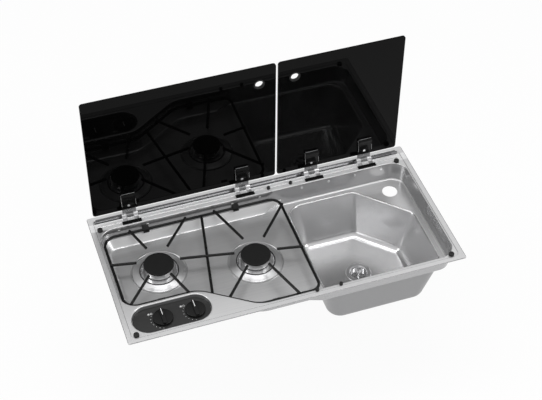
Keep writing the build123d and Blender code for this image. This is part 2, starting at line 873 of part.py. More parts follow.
for side, centre in burner_places.items():
    save(turned(pressed_ring(dish_profile), centre), f"burner_dish_{side}")

    cup_body = turned(pressed_ring(cup_profile), centre)
    probe_place = (centre[0] - probe_offset, centre[1])
    with BuildPart() as cup:
        add(cup_body)
        upright(probe_place, probe_radius + screw_clearance, cup_cut, mode=Mode.SUBTRACT)
    save(cup.part, f"burner_cup_{side}")

    with BuildPart() as seal:
        with BuildSketch(Plane.XY.offset(dish_top)):
            with Locations(centre):
                Circle(seal_outer)
                Circle(seal_inner, mode=Mode.SUBTRACT)
        extrude(amount=seal_height)
        fillet(seal.faces().sort_by(Axis.Z)[-1].edges(), seal_height / 3)
    save(seal.part, f"burner_seal_{side}")

    with BuildPart() as body:
        upright(centre, burner_body_radius, (burner_body_bottom, body_top))
        upright(centre, burner_neck, (body_top, crown_bottom))
        inlet = (centre[1] - inlet_boss_end, centre[1])
        through_glass((centre[0], pipe_run_z), inlet_boss_radius, inlet)
        upright(centre, neck_bore, (pipe_run_z, crown_bottom), mode=Mode.SUBTRACT)
        through_glass((centre[0], pipe_run_z), pipe_radius - pipe_wall, inlet, mode=Mode.SUBTRACT)
    save(body.part, f"burner_body_{side}")

    with BuildPart() as crown:
        upright(centre, crown_radius, (crown_bottom, crown_top))
        chamfer(crown.faces().sort_by(Axis.Z)[0].edges(), crown_chamfer)
        upright(centre, crown_bore, (crown_bottom + crown_floor, crown_top), mode=Mode.SUBTRACT)
        upright(centre, neck_bore, (crown_bottom, crown_bottom + crown_floor), mode=Mode.SUBTRACT)
        with BuildSketch(Plane.XY.offset(crown_top)):
            with Locations(centre):
                with PolarLocations((crown_bore + crown_radius) / 2, flame_slots):
                    Rectangle(2 * (crown_radius - crown_bore), flame_slot_width)
        extrude(amount=-flame_slot_depth, mode=Mode.SUBTRACT)
    save(crown.part, f"burner_crown_{side}")

    with BuildPart() as cap:
        upright(centre, cap_radius, (crown_top + cap_lift_gap, crown_top + cap_height))
        fillet(cap.faces().sort_by(Axis.Z)[-1].edges(), cap_edge)
        upright(centre, crown_bore - cap_fit, (crown_top - cap_spigot, crown_top + cap_lift_gap))
    save(cap.part, f"burner_cap_{side}")

    with BuildPart() as probe:
        upright(probe_place, probe_radius, (probe_bottom, probe_top))
        fillet(probe.faces().sort_by(Axis.Z)[-1].edges(), probe_radius / 2)
        upright(probe_place, probe_collar, (cup_floor, cup_floor + sheet))
        upright(probe_place, probe_collar, (body_top - 2 * sheet, body_top))
    save(probe.part, f"thermocouple_{side}")


# ---- Pan support ------------------------------------------------------------

frame_points = [
    (frame_left, frame_rear),
    (frame_right, frame_rear),
    (frame_right, frame_front),
    (shelf_end_x, frame_front),
    (shelf_bend_x, frame_shelf),
    (frame_left, frame_shelf),
]
frame_plan = outline(frame_points, frame_bends)
finger_z = frame_z + finger_rise
burner_gap = hypot(*(b - a for a, b in zip(*burner_places.values())))
divider_middle = tuple(sum(p) / 2 for p in zip(*burner_places.values()))


def inside_frame(start, angle):
    """Length from a point inside the frame to its wire along a direction in degrees."""
    far = (start[0] + rim_length * cos(radians(angle)), start[1] + rim_length * sin(radians(angle)))
    return Edge.make_line((*start, 0), (*far, 0)).intersect(frame_plan.face()).edges()[0].length


def rod(start, angle, near, far, z):
    """Solid straight wire from one distance to another along a direction in degrees."""
    direction = Vector(cos(radians(angle)), sin(radians(angle)), 0)
    with BuildPart() as straight:
        with BuildSketch(Plane(origin=Vector(*start, z) + direction * near, z_dir=direction)):
            Circle(wire)
        extrude(amount=far - near)
    return straight.part


fingers = []
for side, centre in burner_places.items():
    for turn in range(6):
        angle = finger_first_angle + finger_step * turn
        shared = turn == (0 if side == "left" else 3)
        if shared and side == "left":
            fingers.append(rod(centre, angle, finger_tip, burner_gap - finger_tip, finger_z))
        elif not shared:
            far = inside_frame(centre, angle) + finger_end
            fingers.append(rod(centre, angle, finger_tip, far, finger_z))
divider_angle = finger_first_angle + 90
divider = [
    rod(divider_middle, angle, 0, inside_frame(divider_middle, angle), frame_z)
    for angle in (divider_angle, divider_angle + 180)
]

with BuildLine() as frame_route:
    FilletPolyline(*[(*p, frame_z) for p in frame_points], radius=frame_bends, close=True)
with BuildPart() as pan_support:
    with BuildSketch(Plane(origin=frame_route.line @ 0, z_dir=frame_route.line % 0)):
        Circle(wire)
    sweep(path=frame_route.line)
    for straight in fingers + divider:
        add(straight)
save(pan_support.part, "pan_support")


def wall_y(side, z):
    """Where a drafted recess wall stands at a height."""
    return {
        "rear": recess_rear - wall_inset(z),
        "front": recess_front + wall_inset(z),
        "shelf": recess_shelf + wall_inset(z),
    }[side]


rod_grip = wire + rubber_fit
clip_bottom = frame_z - rod_grip - clip_wall
clip_top = frame_z + rod_grip + clip_wall
clip_face = frame_rear - rod_grip - clip_wall / 2
clip_profile = [
    (clip_face, clip_bottom),
    (wall_y("rear", clip_bottom), clip_bottom),
    (wall_y("rear", clip_top), clip_top),
    (clip_face, clip_top),
]
with BuildPart() as pan_clips:
    for centre in burner_places.values():
        span = (centre[0] - clip_half_width, centre[0] + clip_half_width)
        add(prism_along_x(clip_profile, span))
        lying((frame_rear, frame_z), rod_grip, span, mode=Mode.SUBTRACT)
        block(
            span,
            (clip_face, frame_rear),
            (frame_z - clip_gap / 2, frame_z + clip_gap / 2),
            mode=Mode.SUBTRACT,
        )
    # The clips are notched round the screw heads beside them.
    with BuildSketch(*wall_screw_planes):
        Circle(wall_screw_head + rubber_fit)
    extrude(amount=wall_screw_head_height + rubber_fit, mode=Mode.SUBTRACT)
save(pan_clips.part, "pan_clips")

with BuildPart() as pan_rests:
    for wall, rod_y in (("shelf", frame_shelf), ("front", frame_front)):
        span = (rest_x[wall] - rest_half_width, rest_x[wall] + rest_half_width)
        rest_bottom = frame_z - rest_depth
        add(
            prism_along_x(
                [
                    (wall_y(wall, rest_bottom), rest_bottom),
                    (rod_y + rod_grip + clip_wall / 2, rest_bottom),
                    (rod_y + rod_grip + clip_wall / 2, frame_z),
                    (wall_y(wall, frame_z), frame_z),
                ],
                span,
            )
        )
        lying((rod_y, frame_z), rod_grip, span, mode=Mode.SUBTRACT)
save(pan_rests.part, "pan_rests")


# ---- Hinges -----------------------------------------------------------------

strap_top = panel_top + strap_thickness
bracket_top = panel_under
wall_outside = recess_rear + sheet
with BuildPart() as hinge_pins:
    for x in hinge_x:
        lying((pivot_y, pivot_z), pin_radius, (x - lug_outer, x + lug_outer))
save(hinge_pins.part, "hinge_pins")

for number, x in enumerate(hinge_x, start=1):
    with BuildPart() as leaf:
        for side in (-1, 1):
            lug = (x + side * lug_inner, x + side * lug_outer)
            lying((pivot_y, pivot_z), knuckle_radius, lug)
            block(lug, (strap_front, pivot_y), (panel_top, strap_top))
            hole = (x + side * leaf_screw_x, leaf_screw_y)
            upright(hole, screw_radius + screw_clearance, (panel_top, strap_top), mode=Mode.SUBTRACT)
        lying((pivot_y, pivot_z), pin_radius, (x - lug_outer, x + lug_outer), mode=Mode.SUBTRACT)
    save(leaf.part, f"hinge_leaf_{number}")

    with BuildPart() as arm:
        lying((pivot_y, pivot_z), knuckle_radius, (x - arm_neck, x + arm_neck))
        plate = (glass_front - arm_thickness, glass_front)
        block((x - arm_neck, x + arm_neck), plate, (pivot_z, arm_neck_top))
        block((x - arm_half_width, x + arm_half_width), plate, (arm_neck_top, clip_cover_bottom))
        block((x - arm_tang, x + arm_tang), plate, (clip_cover_bottom, arm_top))
        neck = (x - arm_neck, x + arm_neck)
        lying((pivot_y, pivot_z), pin_radius + pin_fit, neck, mode=Mode.SUBTRACT)
        with BuildSketch(Plane.XZ.offset(-glass_front)):
            with Locations((x, arm_slot_z)):
                SlotOverall(*arm_slot)
        extrude(amount=2 * arm_thickness, mode=Mode.SUBTRACT)
        through_glass((x, clip_screw_z), screw_radius + screw_clearance, plate, mode=Mode.SUBTRACT)
    save(arm.part, f"hinge_arm_{number}")

with BuildPart() as hinge_covers:
    for x in hinge_x:
        span = (x - cover_half_width, x + cover_half_width)
        block(span, (cover_front, cover_rear), (panel_top, cover_top))
    fillet(hinge_covers.edges().filter_by(Axis.X).group_by(Axis.Z)[-1], cover_wall)
    for x in hinge_x:
        for side in (-1, 1):
            strap = (x + side * (lug_inner - clip_fit), x + side * (lug_outer + clip_fit))
            block(
                strap,
                (strap_front - clip_fit, cover_rear),
                (panel_top, cover_top - cover_wall),
                mode=Mode.SUBTRACT,
            )
save(hinge_covers.part, "hinge_covers")

bracket_foot = wall_outside - wall_inset(bracket_bottom)
bracket_bend = wall_outside + bracket_sheet + edge_under_radius
bracket_shoulder = bracket_top - bracket_sheet - edge_under_radius
bracket_profile = [
    (bracket_foot, bracket_bottom),
    (bracket_foot + bracket_sheet, bracket_bottom),
    (bracket_bend, bracket_top - bracket_sheet),
    (bracket_rear, bracket_top - bracket_sheet),
    (bracket_rear, bracket_top),
    (bracket_bend, bracket_top),
    (wall_outside - wall_inset(bracket_shoulder), bracket_shoulder),
]
bracket_cut = (bracket_top - 2 * bracket_sheet, bracket_top)
with BuildPart() as hinge_brackets:
    for x in hinge_x:
        add(prism_along_x(bracket_profile, (x - bracket_half_width, x + bracket_half_width)))
    for centre in leaf_screw_places:
        upright(centre, screw_radius + screw_clearance, bracket_cut, mode=Mode.SUBTRACT)
    with Locations(*wall_screw_planes):
        Cylinder(screw_radius + screw_clearance, 4 * bracket_sheet, mode=Mode.SUBTRACT)
save(hinge_brackets.part, "hinge_brackets")

with BuildPart() as leaf_screws:
    for centre in leaf_screw_places:
        upright(centre, screw_radius, (bracket_top - bracket_sheet, strap_top))
        upright(centre, leaf_screw_head, (strap_top, strap_top + leaf_screw_head_height))
save(leaf_screws.part, "leaf_screws")

with BuildPart() as wall_screws:
    with BuildSketch(*wall_screw_planes):
        Circle(wall_screw_head)
    extrude(amount=wall_screw_head_height)
    with BuildSketch(*wall_screw_planes):
        Circle(screw_radius)
    extrude(amount=-(sheet + bracket_sheet))
    head_edges = wall_screws.edges().filter_by(GeomType.CIRCLE).group_by(Axis.Y)[0]
    fillet(head_edges, wall_screw_head_height / 2)
save(wall_screws.part, "wall_screws")


# ---- Glass lids -------------------------------------------------------------

glass_rear = glass_front + glass
thick_face = glass_rear - glass - clip_cover_thick

for side, span in lid_spans.items():
    hole = (finger_hole_x[side], finger_hole_z)
    with BuildPart() as lid:
        with BuildSketch(Plane.XZ.offset(-glass_front)):
            with Locations((sum(span) / 2, (glass_bottom + glass_top) / 2)):
                RectangleRounded(span[1] - span[0], glass_top - glass_bottom, glass_corner)
            with Locations(hole):
                Circle(grommet_bore + grommet_wall + grommet_clearance, mode=Mode.SUBTRACT)
            with Locations(*[(x, clip_screw_z) for x in lid_hinges[side]]):
                Circle(clip_screw_hole, mode=Mode.SUBTRACT)
        extrude(amount=-glass)
        rims = lid.faces().filter_by(Plane.XZ)
        chamfer([wire_edge for face in rims for wire_edge in face.outer_wire().edges()], glass_edge)
    save(lid.part, f"lid_{side}")

    with BuildPart() as grommet:
        through_glass(hole, grommet_bore + grommet_wall, (glass_front, glass_rear))
        for outer in ((glass_front - grommet_lip, glass_front), (glass_rear, glass_rear + grommet_lip)):
            through_glass(hole, grommet_flange, outer)
        faces_out = grommet.faces().filter_by(Plane.XZ).sort_by(Axis.Y)
        fillet([faces_out[end].outer_wire().edges()[0] for end in (0, -1)], grommet_lip / 2)
        bore = (glass_front - 2 * grommet_lip, glass_rear + 2 * grommet_lip)
        through_glass(hole, grommet_bore, bore, mode=Mode.SUBTRACT)
    save(grommet.part, f"grommet_{side}")

    with BuildPart() as covers:
        for x in lid_hinges[side]:
            add(
                prism_along_x(
                    [
                        (glass_front, clip_cover_bottom),
                        (glass_front - clip_cover_thin, clip_cover_bottom),
                        (glass_front - clip_cover_thin, clip_cover_bend_z),
                        (thick_face, clip_cover_top - clip_cover_corner),
                        (thick_face + clip_cover_corner, clip_cover_top),
                        (glass_front, clip_cover_top),
                    ],
                    (x - clip_cover_half_width, x + clip_cover_half_width),
                )
            )
        for x in lid_hinges[side]:
            block(
                (x - arm_tang - clip_fit, x + arm_tang + clip_fit),
                (glass_front - arm_thickness, glass_front),
                (clip_cover_bottom, arm_top + clip_fit),
                mode=Mode.SUBTRACT,
            )
            through_glass(
                (x, clip_screw_z),
                clip_screw_head + clip_fit,
                (glass_front - 2 * clip_cover_thin, glass_front),
                mode=Mode.SUBTRACT,
            )
    save(covers.part, f"clip_covers_{side}")

    with BuildPart() as jaws:
        for x in lid_hinges[side]:
            block(
                (x - clip_cover_half_width, x + clip_cover_half_width),
                (glass_rear, glass_rear + jaw_thickness),
                (clip_cover_bottom, clip_cover_top),
            )
        fillet(jaws.faces().sort_by(Axis.Y).filter_by(Plane.XZ)[-2:].edges(), jaw_thickness / 2)
        for x in lid_hinges[side]:
            through_glass(
                (x, clip_screw_z),
                screw_radius + screw_clearance,
                (glass_rear, glass_rear + jaw_thickness / 2),
                mode=Mode.SUBTRACT,
            )
    save(jaws.part, f"clip_jaws_{side}")

    with BuildPart() as clip_screws:
        for x in lid_hinges[side]:
            seat = glass_front - arm_thickness
            through_glass((x, clip_screw_z), clip_screw_head, (seat - clip_screw_head_height, seat))
            through_glass((x, clip_screw_z), screw_radius, (seat, glass_rear + jaw_thickness / 2))
    save(clip_screws.part, f"clip_screws_{side}")

with BuildPart() as bumpers:
    for places, radius in ((corner_bumpers, corner_bumper_radius), (edge_bumpers, edge_bumper_radius)):
        with BuildSketch(Plane.XY.offset(panel_top)):
            with Locations(*places):
                Circle(radius)
        extrude(amount=bumper_top - panel_top)
    fillet(bumpers.edges().group_by(Axis.Z)[-1], bumper_round)
    with BuildSketch(Plane.XY.offset(bumper_top)):
        with Locations(*corner_bumpers, *edge_bumpers):
            Circle(bumper_dimple)
    extrude(amount=-bumper_round, mode=Mode.SUBTRACT)
save(bumpers.part, "bumpers")


# ---- Waste ------------------------------------------------------------------

drain = (drain_x, drain_y)
bowl_under = bowl_floor - sheet
rim_under = bowl_floor
flange_profile = [
    (strainer_radius, rim_under),
    (strainer_radius, rim_under + strainer_rim / 3),
    (strainer_radius - strainer_rim, rim_under + strainer_rim),
    (strainer_bore + 2 * strainer_rim, rim_under + strainer_rim),
    (strainer_bore, rim_under - strainer_rim),
    (strainer_bore, strainer_seat),
    (strainer_seat_bore, strainer_seat),
    (strainer_seat_bore, strainer_seat - strainer_rim),
    (strainer_bore, strainer_seat - strainer_rim),
    (strainer_bore, strainer_tube_bottom),
    (strainer_tube, strainer_tube_bottom),
    (strainer_tube, rim_under),
]
save(turned(flange_profile, drain), "strainer_flange")

basket_outer = strainer_bore - basket_clearance
basket_bottom = strainer_seat + basket_clearance
basket_top = basket_bottom + basket_height
basket_profile = [
    (0, basket_bottom),
    (basket_outer, basket_bottom),
    (basket_outer, basket_top),
    (basket_outer - sheet, basket_top),
    (basket_outer - sheet, basket_bottom + sheet),
    (basket_stem_radius, basket_bottom + sheet),
    (basket_stem_radius, basket_knob_top - basket_knob_radius),
    (basket_knob_radius, basket_knob_top - basket_knob_radius / 2),
    (basket_knob_radius / 2, basket_knob_top),
    (0, basket_knob_top),
]
basket_body = turned(basket_profile, drain)
with BuildPart() as basket:
    add(basket_body)
    with BuildSketch(Plane.XY.offset(basket_bottom)):
        with Locations(drain):
            for ring_radius, count in basket_holes.items():
                with PolarLocations(ring_radius, count):
                    Circle(basket_hole_radius)
    extrude(amount=2 * sheet, mode=Mode.SUBTRACT)
save(basket.part, "strainer_basket")

with BuildPart() as nut:
    with BuildSketch(Plane.XY.offset(bowl_under)):
        with Locations(drain):
            RegularPolygon(nut_radius, 6)
            Circle(strainer_tube + thread_fit, mode=Mode.SUBTRACT)
    extrude(amount=-nut_height)
save(nut.part, "waste_nut")

waste_profile = [
    (strainer_tube + thread_fit, waste_top),
    (waste_radius, waste_top),
    (waste_radius, waste_bottom),
    (outlet_tube_radius, waste_bottom),
    (outlet_tube_radius, outlet_tube_bottom),
    (outlet_tube_bore, outlet_tube_bottom),
    (outlet_tube_bore, waste_bottom + waste_wall),
    (strainer_bore, waste_step - waste_wall),
    (strainer_bore, waste_step),
    (strainer_tube + thread_fit, waste_step),
]
save(turned(waste_profile, drain), "waste_body")
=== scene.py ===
import json
import math

import bmesh
import bpy
from mathutils import Matrix, Vector


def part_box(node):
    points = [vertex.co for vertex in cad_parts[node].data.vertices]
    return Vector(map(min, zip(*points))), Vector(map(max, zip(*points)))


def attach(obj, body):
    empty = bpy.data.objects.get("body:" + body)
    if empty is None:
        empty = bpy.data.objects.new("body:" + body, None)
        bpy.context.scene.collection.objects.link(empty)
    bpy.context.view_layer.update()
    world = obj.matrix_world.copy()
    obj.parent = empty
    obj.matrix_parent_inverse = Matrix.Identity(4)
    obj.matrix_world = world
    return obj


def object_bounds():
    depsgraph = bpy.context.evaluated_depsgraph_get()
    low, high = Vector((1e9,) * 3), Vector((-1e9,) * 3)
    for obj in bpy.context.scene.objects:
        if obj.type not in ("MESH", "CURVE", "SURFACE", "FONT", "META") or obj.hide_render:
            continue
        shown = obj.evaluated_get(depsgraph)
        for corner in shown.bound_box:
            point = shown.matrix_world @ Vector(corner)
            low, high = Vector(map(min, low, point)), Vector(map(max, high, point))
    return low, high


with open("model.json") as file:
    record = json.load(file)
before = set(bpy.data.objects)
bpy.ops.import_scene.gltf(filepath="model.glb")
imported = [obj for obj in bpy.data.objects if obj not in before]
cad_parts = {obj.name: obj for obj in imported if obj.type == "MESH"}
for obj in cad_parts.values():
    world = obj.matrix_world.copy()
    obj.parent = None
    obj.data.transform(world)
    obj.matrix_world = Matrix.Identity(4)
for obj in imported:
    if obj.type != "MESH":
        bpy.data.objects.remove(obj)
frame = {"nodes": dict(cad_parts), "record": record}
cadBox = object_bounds()
nodes = frame["nodes"]
mm = 0.001
deckLow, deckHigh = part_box("deck")
print("frame loaded", len(nodes), "nodes")


# materials

def newMaterial(name):
    mat = bpy.data.materials.new(name)
    mat.use_nodes = True
    tree = mat.node_tree
    shader = tree.nodes["Principled BSDF"]
    return mat, tree, shader


def addNode(tree, kind, **inputs):
    node = tree.nodes.new(kind)
    for key, value in inputs.items():
        node.inputs[key.replace("_", " ")].default_value = value
    return node


def mathOn(tree, operation, *values):
    # each value is a number, or the output of another node
    node = tree.nodes.new("ShaderNodeMath")
    node.operation = operation
    for socket, value in zip(node.inputs, values):
        if isinstance(value, float):
            socket.default_value = value
        else:
            tree.links.new(value, socket)
    return node.outputs["Value"]


def coordsOf(tree, output):
    # Object is the place on a piece, Normal the way its surface faces
    return tree.nodes.new("ShaderNodeTexCoord").outputs[output]


def axisOf(tree, vector, axis):
    split = tree.nodes.new("ShaderNodeSeparateXYZ")
    tree.links.new(vector, split.inputs["Vector"])
    return split.outputs[axis]


def noiseOn(tree, stretch, scale, detail, roughness):
    mapping = addNode(tree, "ShaderNodeMapping", Scale=stretch)
    tree.links.new(coordsOf(tree, "Object"), mapping.inputs["Vector"])
    noise = addNode(tree, "ShaderNodeTexNoise", Scale=scale, Detail=detail, Roughness=roughness)
    tree.links.new(mapping.outputs["Vector"], noise.inputs["Vector"])
    return noise.outputs["Fac"]


def rangeOf(tree, value, low, high, fromLow, fromHigh):
    ramp = addNode(tree, "ShaderNodeMapRange", From_Min=fromLow, From_Max=fromHigh, To_Min=low, To_Max=high)
    tree.links.new(value, ramp.inputs["Value"])
    return ramp.outputs["Result"]


def colourRange(tree, value, dark, light, fromLow, fromHigh):
    ramp = tree.nodes.new("ShaderNodeValToRGB")
    for stop, place, colour in zip(ramp.color_ramp.elements, (fromLow, fromHigh), (dark, light)):
        stop.position = place
        stop.color = (*colour, 1)
    tree.links.new(value, ramp.inputs["Fac"])
    return ramp.outputs["Color"]


def addBump(tree, shader, height, strength, distance):
    bump = addNode(tree, "ShaderNodeBump", Strength=strength, Distance=distance)
    tree.links.new(height, bump.inputs["Height"])
    tree.links.new(bump.outputs["Normal"], shader.inputs["Normal"])


noiseSpan = (0.3, 0.7)  # the stretch of a noise that is spread over a whole range
allWays = (1, 1, 1)
steelNoise = {"lines": (5.0, 0.6), "clouds": (3.0, 0.5), "bumpDepth": 0.00005}
paintNoise = {"grain": (4.0, 0.6), "clouds": (2.0, 0.5), "cloudsLarger": 12, "bumpDepth": 0.0001}


def brushedSteel(name, style):
    # fine lines along the brush, over slow cloudy changes in the gloss
    mat, tree, shader = newMaterial(name)
    lines = noiseOn(tree, style["brush"], style["lineScale"], *steelNoise["lines"])
    clouds = noiseOn(tree, allWays, style["cloudScale"], *steelNoise["clouds"])
    rough = mathOn(
        tree, "ADD", rangeOf(tree, lines, -style["lineRough"], style["lineRough"], *noiseSpan),
        rangeOf(tree, clouds, *style["rough"], *noiseSpan),
    )
    colour = colourRange(tree, lines, style["dark"], style["light"], *noiseSpan)
    tree.links.new(rough, shader.inputs["Roughness"])
    tree.links.new(colour, shader.inputs["Base Color"])
    shader.inputs["Metallic"].default_value = style["metallic"]
    addBump(tree, shader, lines, style["bump"], steelNoise["bumpDepth"])
    return mat


mixColour = {"first": 6, "second": 7, "result": 2}  # the colour sockets of a Mix node


def roughenAndPaintLight(mat, mask, change):
    # where the mask is 1 the steel is coarser or finer, and lighter or darker as painted light: a painted
    # highlight on the deck's band, painted shade on the deck's walls and the bowl's outside
    tree = mat.node_tree
    shader = tree.nodes["Principled BSDF"]
    oldRough = shader.inputs["Roughness"].links[0].from_socket
    oldColour = shader.inputs["Base Color"].links[0].from_socket
    rough = mathOn(tree, "MULTIPLY_ADD", mask, change["rough"], oldRough)
    tree.links.new(rough, shader.inputs["Roughness"])
    mix = tree.nodes.new("ShaderNodeMix")
    mix.data_type = "RGBA"
    tree.links.new(mask, mix.inputs["Factor"])
    tree.links.new(oldColour, mix.inputs[mixColour["first"]])
    mix.inputs[mixColour["second"]].default_value = (*change["colour"], 1)
    tree.links.new(mix.outputs[mixColour["result"]], shader.inputs["Base Color"])


def speckled(name, style):
    # paint, enamel, rubber and plastic: a slightly uneven gloss and a fine grain
    mat, tree, shader = newMaterial(name)
    grain = noiseOn(tree, allWays, style["grain"], *paintNoise["grain"])
    clouds = noiseOn(tree, allWays, style["grain"] / paintNoise["cloudsLarger"], *paintNoise["clouds"])
    colour = colourRange(tree, grain, style["dark"], style["light"], *noiseSpan)
    tree.links.new(rangeOf(tree, clouds, *style["rough"], *noiseSpan), shader.inputs["Roughness"])
    tree.links.new(colour, shader.inputs["Base Color"])
    shader.inputs["Metallic"].default_value = style.get("metallic", 0.0)
    shader.inputs["Specular IOR Level"].default_value = style.get("specular", 0.5)
    addBump(tree, shader, grain, style["bump"], paintNoise["bumpDepth"])
    return mat


steelStyle = {
    "brush": (0.15, 60, 60), "lineScale": 18, "cloudScale": 6, "lineRough": 0.025, "rough": (0.29, 0.35),
    "dark": (0.66, 0.66, 0.665), "light": (0.74, 0.74, 0.745), "bump": 0.03, "metallic": 0.72,
}
materials = {
    "deckSteel": brushedSteel("deckSteel", steelStyle),
    "bowlSteel": brushedSteel("bowlSteel", {
        **steelStyle, "brush": (60, 60, 0.5), "rough": (0.225, 0.245), "dark": (0.62, 0.62, 0.625),
        "light": (0.69, 0.69, 0.695), "metallic": 0.78,
    }),
    "polishedSteel": brushedSteel("polishedSteel", {
        **steelStyle, "rough": (0.10, 0.16), "lineRough": 0.01, "dark": (0.70, 0.70, 0.71),
        "light": (0.78, 0.78, 0.79), "bump": 0.02,
    }),
    "chromedSteel": brushedSteel("chromedSteel", {
        **steelStyle, "rough": (0.08, 0.13), "lineRough": 0.01, "dark": (0.80, 0.80, 0.81),
        "light": (0.86, 0.86, 0.87), "bump": 0.02,
    }),
    "plainSteel": brushedSteel("plainSteel", {
        **steelStyle, "rough": (0.34, 0.46), "dark": (0.45, 0.46, 0.47),
    }),
    # painted shade: a dark steel for the hinge arms, shaded between the lugs, and for the shadow lines
    # along the rim
    "shadeSteel": brushedSteel("shadeSteel", {
        **steelStyle, "rough": (0.22, 0.28), "dark": (0.26, 0.26, 0.265), "light": (0.33, 0.33, 0.335),
    }),
    "dishSteel": brushedSteel("dishSteel", {
        **steelStyle, "brush": (3, 3, 60), "rough": (0.34, 0.40), "dark": (0.48, 0.48, 0.485),
        "light": (0.54, 0.54, 0.545), "metallic": 0.8,
    }),
    # painted shade: the groove's steel is made dark for the shade under the black lids
    "grooveShadeSteel": brushedSteel("grooveShadeSteel", {
        **steelStyle, "rough": (0.10, 0.14), "dark": (0.13, 0.13, 0.135), "light": (0.17, 0.17, 0.175),
        "metallic": 1.0,
    }),
    "castAlloy": speckled("castAlloy", {
        "grain": 900, "rough": (0.26, 0.34), "dark": (0.62, 0.62, 0.62), "light": (0.72, 0.72, 0.72),
        "metallic": 1.0, "bump": 0.1,
    }),
    "brass": speckled("brass", {
        "grain": 700, "rough": (0.28, 0.38), "dark": (0.60, 0.44, 0.18), "light": (0.74, 0.56, 0.26),
        "metallic": 1.0, "bump": 0.1,
    }),
    "wireEnamel": speckled("wireEnamel", {
        "grain": 1500, "rough": (0.26, 0.34), "dark": (0.006, 0.006, 0.006), "light": (0.010, 0.010, 0.010),
        "bump": 0.08, "specular": 0.25,
    }),
    "capEnamel": speckled("capEnamel", {
        "grain": 1800, "rough": (0.42, 0.50), "dark": (0.007, 0.007, 0.007), "light": (0.012, 0.012, 0.012),
        "bump": 0.1, "specular": 0.2,
    }),
    "rubber": speckled("rubber", {
        "grain": 1200, "rough": (0.55, 0.7), "dark": (0.012, 0.012, 0.012), "light": (0.022, 0.022, 0.022),
        "bump": 0.2, "specular": 0.3,
    }),
    "sealFoam": speckled("sealFoam", {
        "grain": 900, "rough": (0.8, 0.9), "dark": (0.05, 0.05, 0.05), "light": (0.08, 0.08, 0.08),
        "bump": 0.4, "specular": 0.2,
    }),
    "panelPlastic": speckled("panelPlastic", {
        "grain": 1600, "rough": (0.30, 0.38), "dark": (0.012, 0.012, 0.012), "light": (0.020, 0.020, 0.020),
        "bump": 0.1,
    }),
    "knobPlastic": speckled("knobPlastic", {
        "grain": 1600, "rough": (0.12, 0.18), "dark": (0.006, 0.006, 0.006), "light": (0.010, 0.010, 0.010),
        "bump": 0.1, "specular": 0.22,
    }),
    "clipPlastic": speckled("clipPlastic", {
        "grain": 900, "rough": (0.10, 0.16), "dark": (0.006, 0.006, 0.006), "light": (0.009, 0.009, 0.009),
        "bump": 0.02, "specular": 0.12,
    }),
    "wastePlastic": speckled("wastePlastic", {
        "grain": 800, "rough": (0.45, 0.6), "dark": (0.04, 0.04, 0.04), "light": (0.06, 0.06, 0.06),
        "bump": 0.2,
    }),
    "blackGlass": speckled("blackGlass", {
        "grain": 40, "rough": (0.015, 0.03), "dark": (0.0010, 0.0010, 0.0010),
        "light": (0.0014, 0.0014, 0.0014), "bump": 0.0, "specular": 0.09,
    }),
    "whitePrint": speckled("whitePrint", {
        "grain": 1500, "rough": (0.4, 0.5), "dark": (0.80, 0.80, 0.80), "light": (0.88, 0.88, 0.88),
        "bump": 0.05,
    }),
}


# the deck: a coarser band in front of the hinge groove, lighter as a painted highlight, and upright walls
# darker as painted shade
# both ends of the band fade over 1 mm, and stand at these distances from the rear edge

# painted highlight: the band's lighter colour stands in for light falling on it; its extra roughness is a
# satin finish
satinBandHighlight = {
    "front": 53.5 * mm, "rear": 26.5 * mm, "fade": 1.0 * mm, "rough": 0.30, "colour": (0.86, 0.86, 0.865),
}
# painted shade: upright faces of the deck get a darker colour, as well as less roughness
wallPaintedShade = {"facing": (0.45, 0.20), "rough": -0.13, "colour": (0.46, 0.46, 0.465)}
tree = materials["deckSteel"].node_tree
alongY = axisOf(tree, coordsOf(tree, "Object"), "Y")
facingUp = axisOf(tree, coordsOf(tree, "Normal"), "Z")
bandFront, bandRear = deckHigh.y - satinBandHighlight["front"], deckHigh.y - satinBandHighlight["rear"]
pastFront = rangeOf(tree, alongY, 0.0, 1.0, bandFront, bandFront + satinBandHighlight["fade"])
beforeRear = rangeOf(tree, alongY, 1.0, 0.0, bandRear, bandRear + satinBandHighlight["fade"])
roughenAndPaintLight(materials["deckSteel"], mathOn(tree, "MULTIPLY", pastFront, beforeRear), satinBandHighlight)
steep = rangeOf(tree, facingUp, 0.0, 1.0, *wallPaintedShade["facing"])
roughenAndPaintLight(materials["deckSteel"], steep, wallPaintedShade)


# the bowl: its unpolished outside is what faces away from the middle of the bowl; it is rougher, and darker
# as painted shade

bowlOutsideRoughAndShade = {
    "middle": (0.243, -0.03, -0.04), "facing": (0.004, 0.02), "rough": 0.12, "colour": (0.30, 0.30, 0.305),
}
tree = materials["bowlSteel"].node_tree
fromMiddle = tree.nodes.new("ShaderNodeVectorMath")
fromMiddle.operation = "SUBTRACT"
fromMiddle.inputs[1].default_value = bowlOutsideRoughAndShade["middle"]
tree.links.new(coordsOf(tree, "Object"), fromMiddle.inputs[0])
outwards = tree.nodes.new("ShaderNodeVectorMath")
outwards.operation = "DOT_PRODUCT"
tree.links.new(fromMiddle.outputs["Vector"], outwards.inputs[0])
tree.links.new(coordsOf(tree, "Normal"), outwards.inputs[1])
outside = rangeOf(tree, outwards.outputs["Value"], 0.0, 1.0, *bowlOutsideRoughAndShade["facing"])
roughenAndPaintLight(materials["bowlSteel"], outside, bowlOutsideRoughAndShade)
print("materials made", len(materials))


# finishes of the frame, by slot, and by name where a slot has two

